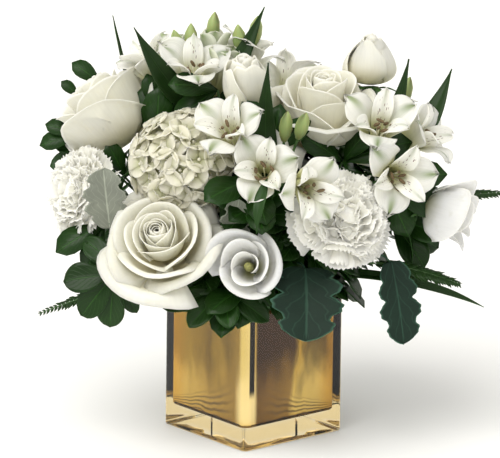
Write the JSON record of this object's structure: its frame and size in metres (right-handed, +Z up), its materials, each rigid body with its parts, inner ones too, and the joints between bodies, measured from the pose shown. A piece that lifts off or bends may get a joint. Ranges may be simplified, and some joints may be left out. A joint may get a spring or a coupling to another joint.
{
  "type": "floral table centerpiece",
  "caption": "Round white flower arrangement with mixed foliage, standing in floral foam in a square gold-lined glass vase.",
  "frame": {"origin": "middle of the vase's base, on the table", "axes": "+Z up; the vase's sides face along X and Y; the arrangement's front looks between +X and -Y, 50 degrees from -Y towards +X"},
  "size_m": [0.2729, 0.301, 0.2984],
  "materials": {
    "vase_glass": "thick clear glass with a gold mirror lining",
    "floral_foam": "matte, crumbly",
    "rose_petals": "soft creamy white, yellow-green in the depths",
    "carnation_petals": "soft white, thin ruffled edges",
    "lisianthus_petals": "soft cool white, olive centre",
    "hydrangea_petals": "soft white with a lime shade",
    "alstroemeria_petals": "satin white, green tips, fine dark flecks",
    "green_stems": "satin green",
    "silver_leaves": "felted silver-grey",
    "glossy_leaves": "glossy dark green",
    "fronds": "satin mid green"
  },
  "bodies": {
    "root": {"alstroemeria_back_floret_1": "alstroemeria_petals", "alstroemeria_back_floret_2": "alstroemeria_petals", "alstroemeria_back_stem": "green_stems", "alstroemeria_front_floret_1": "alstroemeria_petals", "alstroemeria_front_floret_2": "alstroemeria_petals", "alstroemeria_front_floret_3": "alstroemeria_petals", "alstroemeria_front_stem": "green_stems", "alstroemeria_left_floret_1": "alstroemeria_petals", "alstroemeria_left_floret_2": "alstroemeria_petals", "alstroemeria_left_floret_3": "alstroemeria_petals", "alstroemeria_left_stem": "green_stems", "alstroemeria_right_floret_1": "alstroemeria_petals", "alstroemeria_right_floret_2": "alstroemeria_petals", "alstroemeria_right_floret_3": "alstroemeria_petals", "alstroemeria_right_stem": "green_stems", "carnation_back_bloom": "carnation_petals", "carnation_back_stem": "green_stems", "carnation_front_bloom": "carnation_petals", "carnation_front_stem": "green_stems", "carnation_left_bloom": "carnation_petals", "carnation_left_stem": "green_stems", "dusty_miller_back": "silver_leaves", "dusty_miller_left": "silver_leaves", "dusty_miller_low": "silver_leaves", "dusty_miller_mid": "silver_leaves", "dusty_miller_right": "silver_leaves", "fern_far_right": "fronds", "fern_left": "fronds", "fern_right": "fronds", "floral_foam": "floral_foam", "grass_left": "fronds", "grass_right": "fronds", "hydrangea_bloom": "hydrangea_petals", "hydrangea_stem": "green_stems", "lisianthus_front_bloom": "lisianthus_petals", "lisianthus_front_stem": "green_stems", "lisianthus_right_bloom": "lisianthus_petals", "lisianthus_right_stem": "green_stems", "pittosporum_back_left": "glossy_leaves", "pittosporum_back_right": "glossy_leaves", "pittosporum_front": "glossy_leaves", "pittosporum_left": "glossy_leaves", "pittosporum_low_left": "glossy_leaves", "pittosporum_right": "glossy_leaves", "rose_back_bloom": "rose_petals", "rose_back_stem": "green_stems", "rose_front_bloom": "rose_petals", "rose_front_stem": "green_stems", "rose_left_bloom": "rose_petals", "rose_left_stem": "green_stems", "rose_top_bloom": "rose_petals", "rose_top_stem": "green_stems", "rosebud_right_bloom": "rose_petals", "rosebud_right_stem": "green_stems", "rosebud_top_bloom": "rose_petals", "rosebud_top_stem": "green_stems", "vase": "vase_glass"}
  },
  "joints": []
}
